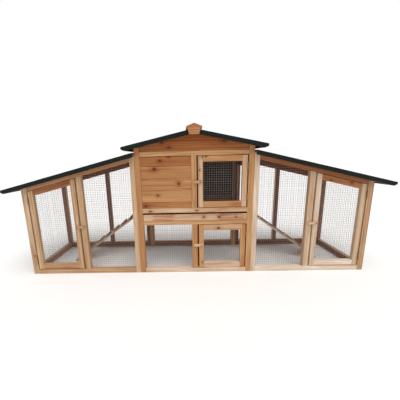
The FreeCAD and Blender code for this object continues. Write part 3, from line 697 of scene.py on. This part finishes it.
def zinc_finish(name, colour, spangle, roughness, metallic):
    """Zinc on steel, with crystals of one size and a little tarnish."""
    zinc = Finish(name)
    place = zinc.place()
    crystals = zinc.cells(place, 1.0 / spangle, "Color")
    light, _, _ = zinc.split(crystals)
    tarnish = zinc.noise(place, 45.0, 4.0, 0.65)
    darker = tuple(part * 0.62 for part in colour)
    patched = zinc.mix(light, solid_colour(colour), solid_colour(darker))
    dulled = zinc.mix(zinc.between(tarnish, 0.5, 0.8, 0.0, 0.5), patched, TARNISH)
    rough = zinc.between(zinc.math("ADD", light, tarnish), 0.3, 1.6, roughness, roughness + 0.22)
    return zinc.finish(dulled, rough, tarnish, 0.0001, Metallic=metallic)


def floor_finish(settings):
    """Plain pale floor with the faintest mottling."""
    floor = Finish("pale_floor")
    clouds = floor.noise(floor.place(), 2.5, 3.0)
    shade = tuple(part * 0.97 for part in settings.floor)
    colour = floor.mix(clouds, solid_colour(settings.floor), solid_colour(shade))
    return floor.finish(colour, floor.between(clouds, 0.3, 0.7, 0.75, 0.85))


def named_finish(name):
    """A material by name, made the first time that it is asked for."""
    found = bpy.data.materials.get(name)
    if found:
        return found
    scene = bpy.context.scene
    timber, metal = scene.hutch_timber, scene.hutch_metal
    stains = {
        "fir_house": timber.house,
        "fir_gable": timber.gable,
        "fir_roof_painted_shade": timber.roof,
        "fir_run": timber.run,
        "fir_button": timber.button,
    }
    if name in stains:
        return timber_finish(name, stains[name], timber)
    if name == "mineral_felt":
        return felt_finish(scene.hutch_felt)
    zincs = {
        "galvanised_wire": (metal.galvanised, 0.004, 0.45, 0.4),
        "galvanised_sheet": (metal.sheet, 0.011, 0.30, 0.85),
        "zinc_plate": (metal.zinc, 0.003, 0.36, 0.85),
    }
    return zinc_finish(name, *zincs[name])


STAIN_OF_SLOT = {
    "house_timber": "fir_house",
    "gable_timber": "fir_gable",
    "roof_boards": "fir_roof_painted_shade",
    "run_timber": "fir_run",
    "turn_buttons": "fir_button",
}


# Boards ----------------------------------------------------------------------

def front_knots(node, board, axes, middle):
    """The chosen knots that fall on this board, in its own directions."""
    low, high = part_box(node)
    along, across, _ = axes
    bottom, top = extent(board, UP)
    start, end = extent(board, ALONG_X)
    found = []
    for share_along, share_up, radius in FRONT_KNOTS[node]:
        x = low.x + (high.x - low.x) * share_along
        z = low.z + (high.z - low.z) * share_up
        if bottom < z < top and start < x < end:
            offset = Vector((x, middle.y, z)) - middle
            found.append(Vector((offset.dot(along), offset.dot(across), radius)))
    return found


def drawn_knots(draw, length, width):
    """Knots of a board by chance: more on a long or a wide board, and small on a narrow one."""
    expected = length * KNOTS_PER_LENGTH + width * KNOTS_PER_WIDTH
    count = min(len(KNOT_MARKS), int(expected * draw.random()))
    largest = min(LARGEST_KNOT, width * 0.22)
    return [
        Vector((draw.uniform(-0.46, 0.46) * length, draw.uniform(-0.35, 0.35) * width,
                draw.uniform(0.35, 1.0) * largest))
        for _ in range(count)
    ]


def shaded_side(node, through):
    """The way that a node's faces with painted shade look from its board, and their tone."""
    facing, tone = SHADED_FACES[node]
    side = through.dot(Vector(facing))
    return through * math.copysign(1, side), tone


def filled(marks, count):
    """A list of marks made up to a count with marks that show nothing."""
    return (marks + [NO_MARK] * count)[:count]


def heart_streaks(node, length):
    """Streaks of heartwood on a board of a node, in its own directions."""
    streaks = HEART_STREAKS.get(node, [])
    return [Vector(((middle - 0.5) * length, half * length, 0)) for middle, half in streaks]


def add_board(whole, layers, board, node, tone, draw, settings):
    """Round one board, and give it grain, tone and knots, inside the bmesh of its node."""
    axes = board_axes(board)
    reaches = [extent(board, axis) for axis in axes]
    middle = sum((axis * (low + high) / 2 for axis, (low, high) in zip(axes, reaches)), Vector())
    length, width, _ = [high - low for low, high in reaches]
    round_edges(board, settings.edge)
    shift = Vector((draw.uniform(0, 40), draw.uniform(0, 40), draw.uniform(0, 40)))
    own_tone = tone + draw.uniform(-1, 1) * settings.variation
    shaded_facing, shaded_tone = shaded_side(node, axes[2]) if node in SHADED_FACES else (axes[2], own_tone)
    knots = drawn_knots(draw, length, width)
    if node in FRONT_KNOTS:
        knots = front_knots(node, board, axes, middle)
    marks = filled(knots, len(KNOT_MARKS)) + filled(heart_streaks(node, length), len(STREAK_MARKS))
    made = {}
    for vertex in board.verts:
        copy = whole.verts.new(vertex.co)
        offset = vertex.co - middle
        copy[layers["grain"]] = Vector([offset.dot(axis) for axis in axes])
        copy[layers["shift"]] = shift
        for name, mark in zip(MARKS, marks):
            copy[layers[name]] = mark
        made[vertex] = copy
    board.normal_update()
    for face in board.faces:
        copy = whole.faces.new([made[vertex] for vertex in face.verts])
        for loop in copy.loops:
            # Painted shade: faces on the shaded side take the deep shade tone, the others the board's own
            # tone.
            loop[layers["tone"]] = shaded_tone if face.normal.dot(shaded_facing) > 0.5 else own_tone
    board.free()


def timber_piece(node, slot, tones):
    """The boards of a node, worked and stained, in place of its plain solids."""
    settings = bpy.context.scene.hutch_timber
    draw = random.Random("%s %d" % (node, settings.seed))
    whole = bmesh.new()
    layers = {name: whole.verts.layers.float_vector.new(name)
              for name in ("grain", "shift", *MARKS)}
    layers["tone"] = whole.loops.layers.float.new("tone")
    solids = solids_of(node)
    if len(tones) not in (1, len(solids)):
        raise RuntimeError("%s has %d boards and %d tones" % (node, len(solids), len(tones)))
    for faces, tone in zip(solids, tones * len(solids)):
        add_board(whole, layers, solid_mesh(faces), node, tone, draw, settings)
    made = piece(node + "_timber", whole, body_of(node), named_finish(STAIN_OF_SLOT[slot]))
    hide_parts(node)


def timber_group(slot, names):
    """All the timber nodes of a slot whose names hold one of these words."""
    chosen = [node for node in TIMBER[slot] if any(word in node for word in names)]
    if not chosen:
        raise RuntimeError("no timber in %s is called %s" % (slot, names))
    for node in chosen:
        timber_piece(node, slot, TIMBER[slot][node])


# Wire, nails and staples -----------------------------------------------------

def ring(whole, centre, across, other, radius, sides):
    """Points round a circle."""
    angles = [2 * math.pi * step / sides for step in range(sides)]
    return [
        whole.verts.new(centre + (across * math.cos(angle) + other * math.sin(angle)) * radius)
        for angle in angles
    ]


def skin(whole, rings):
    """Faces between rings of points, and one over each end."""
    for near, far in zip(rings, rings[1:]):
        for step in range(len(near)):
            after = (step + 1) % len(near)
            whole.faces.new([near[step], near[after], far[after], far[step]])
    whole.faces.new(list(reversed(rings[0])))
    whole.faces.new(rings[-1])


def tube(whole, start, end, radius, sides=6):
    """A straight wire from start to end."""
    direction = (end - start).normalized()
    across = direction.orthogonal().normalized()
    other = direction.cross(across)
    skin(whole, [ring(whole, centre, across, other, radius, sides) for centre in (start, end)])


def crossings(outline, axis, value):
    """Where a flat outline crosses the line on which one coordinate has a value."""
    found = []
    for start, end in zip(outline, outline[1:] + outline[:1]):
        low, high = sorted((start[axis], end[axis]))
        if low <= value < high:
            part = (value - start[axis]) / (end[axis] - start[axis])
            found.append(start[1 - axis] + (end[1 - axis] - start[1 - axis]) * part)
    return sorted(found)


def add_panel(whole, faces, settings):
    """Welded wires over one mesh panel: uprights on one side, level wires on the other."""
    panel = solid_mesh(faces)
    face = max(panel.faces, key=lambda one: one.calc_area())
    normal = upwards(face.normal.copy())
    level = UP.cross(normal).normalized()
    near, far = extent(panel, normal)
    centre = normal * (near + far) / 2
    outline = [(vertex.co.dot(level), vertex.co.z) for vertex in face.verts]
    radius = settings.wire / 2
    for axis, direction, other in ((0, level, UP), (1, UP, level)):
        side = normal * radius * (WELD_DEPTH if axis == 0 else -WELD_DEPTH)
        low = min(point[axis] for point in outline)
        high = max(point[axis] for point in outline)
        place = low + settings.pitch / 2
        while place < high - radius:
            ends = crossings(outline, axis, place)
            if len(ends) == 2 and ends[1] - ends[0] > settings.pitch:
                base = centre + side + direction * place
                tube(whole, base + other * (ends[0] + radius), base + other * (ends[1] - radius), radius)
            place += settings.pitch
    panel.free()


def wire_piece(node):
    """Half-inch welded mesh in place of a node's plain sheets."""
    settings = bpy.context.scene.hutch_metal
    whole = bmesh.new()
    for faces in solids_of(node):
        add_panel(whole, faces, settings)
    made = piece(node + "_wires", whole, body_of(node), named_finish("galvanised_wire"), 70)
    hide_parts(node)


def add_head(whole, place, normal, radius, height, sides=12):
    """A low domed nail head on a face."""
    across = normal.orthogonal().normalized()
    other = normal.cross(across)
    skin(whole, [
        ring(whole, place + normal * height * share_up, across, other, radius * share_out, sides)
        for share_out, share_up in ((1.0, 0.0), (0.92, 0.55), (0.55, 0.95))
    ])


def add_staple(whole, place, along, out, crown, wire=0.0006):
    """A staple's crown lying over the mesh, with its two legs going into the wood."""
    half = along * crown / 2
    tube(whole, place - half, place + half, wire)
    for end in (-half, half):
        tube(whole, place + end + out * wire, place + end - out * wire * 5, wire)


def panel_staples(whole, faces, settings):
    """Staples round one mesh panel, on the side that faces the inside of the hutch."""
    panel = solid_mesh(faces)
    face = max(panel.faces, key=lambda one: one.calc_area())
    normal = face.normal.copy()
    centre = face.calc_center_median()
    if normal.dot(Vector((centre.x, centre.y, 0))) > 0:
        normal.negate()
    near, far = extent(panel, normal)
    height = (near + far) / 2 + settings.wire * 1.5
    centre, *corners = [point + normal * (height - point.dot(normal))
                        for point in (centre, *(vertex.co for vertex in face.verts))]
    for start, end in zip(corners, corners[1:] + corners[:1]):
        length = (end - start).length
        along = (end - start).normalized()
        inward = normal.cross(along)
        if inward.dot(centre - start) < 0:
            inward.negate()
        count = max(1, round(length / settings.staple_pitch))
        for step in range(count):
            place = start + along * length * (step + 0.5) / count + inward * settings.pitch * STAPLE_INSET
            add_staple(whole, place, along, normal, settings.staple)
    panel.free()


# Operators -------------------------------------------------------------------

class HUTCH_OT_house_frame(bpy.types.Operator):
    """Corner posts, rails and uprights of the house"""

    bl_idname = "hutch.house_frame"
    bl_label = "House frame"

    def execute(self, context):
        timber_group("house_timber", ["house_post", "_rails", "_stile", "lower_post", "door_stops"])
        return {"FINISHED"}


class HUTCH_OT_house_walls(bpy.types.Operator):
    """Siding, rear wall, side walls and gables"""

    bl_idname = "hutch.house_walls"
    bl_label = "House walls"

    def execute(self, context):
        timber_group("house_timber", ["siding", "rear_wall", "side_wall"])
        timber_group("gable_timber", ["gable"])
        return {"FINISHED"}


class HUTCH_OT_roofs(bpy.types.Operator):
    """Roof boards and battens, and the ridge cap with its end blocks"""

    bl_idname = "hutch.roofs"
    bl_label = "Roofs"

    def execute(self, context):
        timber_group("roof_boards", ["roof"])
        timber_group("gable_timber", ["ridge_cap"])
        return {"FINISHED"}


def felt_top(felt):
    """The large sloping top face of a felt."""
    tops = [face for face in felt.faces if face.normal.z > 0.5]
    return max(tops, key=lambda face: face.calc_area())


class HUTCH_OT_felt(bpy.types.Operator):
    """Mineral felt, folded over the edges of the roof boards and rippled a little"""

    bl_idname = "hutch.felt"
    bl_label = "Felt"

    def execute(self, context):
        settings = context.scene.hutch_felt
        for node in FELT_NODES:
            felt = solid_mesh(solids_of(node)[0])
            round_edges(felt, FELT_EDGE)
            for axis in (ALONG_X, ALONG_Y):
                low, high = extent(felt, axis)
                place = low + settings.tile
                while place < high:
                    geometry = felt.verts[:] + felt.edges[:] + felt.faces[:]
                    bmesh.ops.bisect_plane(felt, geom=geometry, plane_co=axis * place, plane_no=axis)
                    place += settings.tile
            felt.normal_update()
            for vertex in felt.verts:
                if vertex.normal.z > 0.7:
                    lift = 0.5 + 0.5 * noise.noise(vertex.co * 14.0)
                    vertex.co.z += settings.ripple * lift
            made = piece(node + "_mineral", felt, body_of(node), named_finish("mineral_felt"))
            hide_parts(node)
        return {"FINISHED"}


class HUTCH_OT_runs(bpy.types.Operator):
    """Front, rear and end frames of both runs"""

    bl_idname = "hutch.runs"
    bl_label = "Runs"

    def execute(self, context):
        timber_group("run_timber", ["run_front_frame", "run_rear_frame", "end_rails"])
        return {"FINISHED"}


class HUTCH_OT_doors(bpy.types.Operator):
    """Frames of the four doors, and their turn buttons"""

    bl_idname = "hutch.doors"
    bl_label = "Doors"

    def execute(self, context):
        timber_group("house_timber", ["door_frame"])
        timber_group("run_timber", ["door_frame"])
        timber_group("turn_buttons", ["button"])
        return {"FINISHED"}


class HUTCH_OT_ramps(bpy.types.Operator):
    """Cleated ramps down from the pop holes"""

    bl_idname = "hutch.ramps"
    bl_label = "Ramps"

    def execute(self, context):
        timber_group("run_timber", ["ramp"])
        return {"FINISHED"}


class HUTCH_OT_tray(bpy.types.Operator):
    """Wooden front and runners of the tray, and its galvanised pan with a hemmed rim"""

    bl_idname = "hutch.tray"
    bl_label = "Tray"

    def execute(self, context):
        timber_group("house_timber", ["tray"])
        dress("tray_pan", "galvanised_sheet")
        low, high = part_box("tray_pan")
        rim = bmesh.new()
        corners = [(low.x, low.y), (high.x, low.y), (high.x, high.y), (low.x, high.y)]
        points = [
            Vector((x - math.copysign(HEM_INSET, x), y - math.copysign(HEM_INSET, y), high.z))
            for x, y in corners
        ]
        for start, end in zip(points, points[1:] + points[:1]):
            tube(rim, start, end, HEM_RADIUS, 8)
        piece("tray_pan_hem", rim, "tray", named_finish("galvanised_sheet"), 60)
        return {"FINISHED"}


def dress(node, finish):
    """Give a node of the frame its finish."""
    thing = frame["nodes"][node]
    material = named_finish(finish)
    thing.data.materials.clear()
    thing.data.materials.append(material)


class HUTCH_OT_wire_mesh(bpy.types.Operator):
    """Welded wire mesh of the runs, the lower bay and the doors"""

    bl_idname = "hutch.wire_mesh"
    bl_label = "Wire mesh"

    def execute(self, context):
        for node in MESH_NODES:
            wire_piece(node)
        return {"FINISHED"}


class HUTCH_OT_staples(bpy.types.Operator):
    """Staples that hold the mesh to its frames"""

    bl_idname = "hutch.staples"
    bl_label = "Staples"

    def execute(self, context):
        settings = context.scene.hutch_metal
        for node in MESH_NODES:
            whole = bmesh.new()
            for faces in solids_of(node):
                panel_staples(whole, faces, settings)
            piece(node + "_staples", whole, body_of(node), named_finish("galvanised_wire"))
        return {"FINISHED"}


class HUTCH_OT_fittings(bpy.types.Operator):
    """Finish of the hinges, their pins and the button screws"""

    bl_idname = "hutch.fittings"
    bl_label = "Hinges and screws"

    def execute(self, context):
        for node in STEEL_NODES:
            dress(node, "zinc_plate")
        return {"FINISHED"}


def on_board(board, place, out):
    """Whether a place is on a board's outer face, and not past a sloping end."""
    tree = BVHTree.FromBMesh(board)
    reach = (-NAIL_MARGIN, NAIL_MARGIN)
    corners = [place + Vector((x, 0, z)) for x in reach for z in reach]
    return all(tree.ray_cast(corner + out * NAIL_MARGIN, -out, 2 * NAIL_MARGIN)[0] for corner in corners)


def board_nails(whole, node, settings):
    """Two nails at each end of every board of a node, on its outer face."""
    for faces in solids_of(node):
        board = solid_mesh(faces)
        along, across, through = board_axes(board)
        start, end = extent(board, along)
        low, high = extent(board, across)
        near, far = extent(board, through)
        middle = along * (start + end) / 2 + across * (low + high) / 2 + through * (near + far) / 2
        flat = Vector((middle.x, middle.y, 0))
        out = through if through.dot(flat) > 0 else -through
        face = middle + out * (far - near) / 2
        spread = (high - low) * 0.27
        reach = (end - start) / 2 - NAIL_END
        if high - low > NARROWEST_NAILED and reach > SHORTEST_NAILED:
            for side in (-1, 1):
                for row in (-1, 1):
                    place = face + along * reach * side + across * spread * row
                    if on_board(board, place, out):
                        add_head(whole, place, out, settings.nail, NAIL_HEIGHT)
        board.free()


class HUTCH_OT_nails(bpy.types.Operator):
    """Nails of the wall and gable boards"""

    bl_idname = "hutch.nails"
    bl_label = "Nails"

    def execute(self, context):
        settings = context.scene.hutch_metal
        whole = bmesh.new()
        for node in NAILED_NODES:
            board_nails(whole, node, settings)
        piece("wall_nails", whole, HOUSE_FRAME, named_finish("zinc_plate"), 50)
        return {"FINISHED"}


def clout_nails(whole, node, settings):
    """Nails along a felt's front, rear and outer edges."""
    felt = solid_mesh(solids_of(node)[0])
    top = felt_top(felt)
    normal = top.normal.copy()
    outer = max(top.verts, key=lambda vertex: abs(vertex.co.x)).co
    inner = min(top.verts, key=lambda vertex: abs(vertex.co.x)).co
    low, high = extent(felt, ALONG_Y)
    slope = Vector((inner.x - outer.x, 0, inner.z - outer.z))
    length = slope.length
    slope.normalize()
    start = Vector((outer.x, 0, outer.z)) + slope * CLOUT_INSET
    for step in range(int((length - 3 * CLOUT_INSET) / settings.clout_pitch) + 1):
        for y in (low + CLOUT_INSET, high - CLOUT_INSET):
            place = start + slope * step * settings.clout_pitch + ALONG_Y * y
            add_head(whole, place, normal, settings.clout, CLOUT_HEIGHT)
    depth = high - low - 2 * CLOUT_INSET
    rows = int(depth / settings.clout_pitch)
    for row in range(1, rows):
        place = start + ALONG_Y * (low + CLOUT_INSET + row * depth / rows)
        add_head(whole, place, normal, settings.clout, CLOUT_HEIGHT)
    felt.free()


class HUTCH_OT_felt_nails(bpy.types.Operator):
    """Clout nails along the edges of the felt"""

    bl_idname = "hutch.felt_nails"
    bl_label = "Felt nails"

    def execute(self, context):
        whole = bmesh.new()
        for node in FELT_NODES:
            clout_nails(whole, node, context.scene.hutch_metal)
        piece("felt_nails", whole, HOUSE_FRAME, named_finish("galvanised_wire"), 50)
        return {"FINISHED"}


def stage_floor(settings):
    """The floor, just under the hutch's feet."""
    grid = bmesh.new()
    bmesh.ops.create_grid(grid, x_segments=4, y_segments=4, size=FLOOR_HALF)
    data = bpy.data.meshes.new("floor")
    grid.to_mesh(data)
    grid.free()
    data.materials.append(floor_finish(settings))
    floor = show("floor", data)
    floor.location.z = -FLOOR_DROP


def stage_light(settings):
    """One wide soft light from high in front."""
    lamp = bpy.data.lights.new("key_light", "SUN")
    lamp.energy = settings.key
    lamp.angle = settings.spread
    lamp.color = KEY_COLOUR
    show("key_light", lamp).rotation_euler = [math.radians(turn) for turn in KEY_TURNS]


def stage_camera(settings):
    """The camera, a little left of the middle and a little above the roofs' edges."""
    data = bpy.data.cameras.new("camera")
    data.lens = settings.lens
    data.shift_x, data.shift_y = CAMERA_SHIFT
    place = Matrix.Translation(CAMERA_PLACE)
    for degrees, axis in CAMERA_TURNS:
        place = place @ Matrix.Rotation(math.radians(degrees), 4, axis)
    camera = show("camera", data)
    camera.matrix_world = place
    bpy.context.scene.camera = camera


class HUTCH_OT_stage(bpy.types.Operator):
    """Pale floor, soft studio light and the camera"""

    bl_idname = "hutch.stage"
    bl_label = "Stage"

    def execute(self, context):
        settings = context.scene.hutch_stage
        stage_floor(settings)
        studio_world(settings)
        stage_light(settings)
        stage_camera(settings)
        context.scene.view_settings.view_transform = "Standard"
        return {"FINISHED"}


def studio_world(settings):
    """A white surround, dimmer as a light than it is to look at."""
    world = bpy.data.worlds.new("studio")
    world.use_nodes = True
    nodes, links = world.node_tree.nodes, world.node_tree.links
    nodes.clear()
    light, seen = nodes.new("ShaderNodeBackground"), nodes.new("ShaderNodeBackground")
    light.inputs["Strength"].default_value = settings.ambient
    light.inputs["Color"].default_value = SURROUND
    seen.inputs["Color"].default_value = WHITE
    mixed, path = nodes.new("ShaderNodeMixShader"), nodes.new("ShaderNodeLightPath")
    links.new(path.outputs["Is Camera Ray"], mixed.inputs[0])
    links.new(light.outputs[0], mixed.inputs[1])
    links.new(seen.outputs[0], mixed.inputs[2])
    links.new(mixed.outputs[0], nodes.new("ShaderNodeOutputWorld").inputs["Surface"])
    bpy.context.scene.world = world


PIECE_OPERATORS = [
    HUTCH_OT_house_frame,
    HUTCH_OT_house_walls,
    HUTCH_OT_roofs,
    HUTCH_OT_felt,
    HUTCH_OT_runs,
    HUTCH_OT_doors,
    HUTCH_OT_ramps,
    HUTCH_OT_tray,
    HUTCH_OT_wire_mesh,
    HUTCH_OT_staples,
    HUTCH_OT_fittings,
    HUTCH_OT_nails,
    HUTCH_OT_felt_nails,
    HUTCH_OT_stage,
]


class HUTCH_PT_sidebar(bpy.types.Panel):
    """The hutch's sizes and colours, and its pieces in the order that they are made"""

    bl_idname = "HUTCH_PT_sidebar"
    bl_label = "Rabbit hutch"
    bl_space_type = "VIEW_3D"
    bl_region_type = "UI"
    bl_category = "Hutch"

    def draw(self, context):
        for name, group in SETTINGS.items():
            box = self.layout.box()
            box.label(text=group.__doc__)
            for setting in group.__annotations__:
                box.prop(getattr(context.scene, name), setting)
        for operator in PIECE_OPERATORS:
            self.layout.operator(operator.bl_idname)


CLASSES = [*SETTINGS.values(), *PIECE_OPERATORS, HUTCH_PT_sidebar]


def register():
    """Register the classes and hang their settings on the scene."""
    for one in CLASSES:
        bpy.utils.register_class(one)
    for name, group in SETTINGS.items():
        setattr(bpy.types.Scene, name, bpy.props.PointerProperty(type=group))


def unregister():
    """Take the settings and the classes away again."""
    for name in SETTINGS:
        delattr(bpy.types.Scene, name)
    for one in reversed(CLASSES):
        bpy.utils.unregister_class(one)


def main():
    """Make every piece."""
    register()
    for operator in PIECE_OPERATORS:
        family, name = operator.bl_idname.split(".")
        getattr(getattr(bpy.ops, family), name)()
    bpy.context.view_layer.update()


if __name__ == "__main__":
    main()
